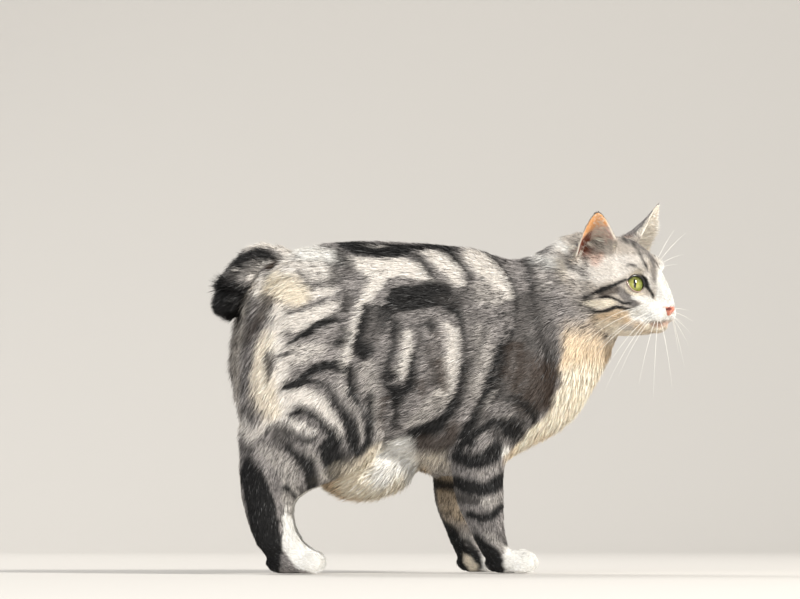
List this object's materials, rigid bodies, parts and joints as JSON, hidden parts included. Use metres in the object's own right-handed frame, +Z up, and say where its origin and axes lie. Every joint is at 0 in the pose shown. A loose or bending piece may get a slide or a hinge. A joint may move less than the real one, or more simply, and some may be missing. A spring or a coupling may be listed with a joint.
{
  "type": "japanese bobtail cat",
  "caption": "Life-size short-haired bobtail cat, silver tabby and white, standing square with its head turned to its right and a short pompom tail.",
  "frame": {"origin": "on the floor, under the middle of the bounding box", "axes": "+X the way the body points (the tail bob is towards -X), +Y the cat's left side, +Z up"},
  "size_m": [0.3937, 0.1333, 0.3169],
  "materials": {
    "coat": "short dense silver tabby fur",
    "white_coat": "short white fur",
    "nose_leather": "bare pink nose leather, slightly moist",
    "iris": "wet, glossy yellow-green eye"
  },
  "bodies": {
    "root": {"torso": "coat", "neck": "coat", "head": "coat", "tail": "coat", "ear_left": "coat", "ear_right": "coat", "foreleg_upper_left": "coat", "foreleg_upper_right": "coat", "foreleg_lower_left": "coat", "foreleg_lower_right": "coat", "thigh_left": "coat", "thigh_right": "coat", "shank_left": "coat", "shank_right": "coat", "forepaw_left": "white_coat", "forepaw_right": "white_coat", "hindpaw_left": "white_coat", "hindpaw_right": "white_coat", "nose": "nose_leather", "eye_left": "iris", "eye_right": "iris"}
  },
  "joints": []
}
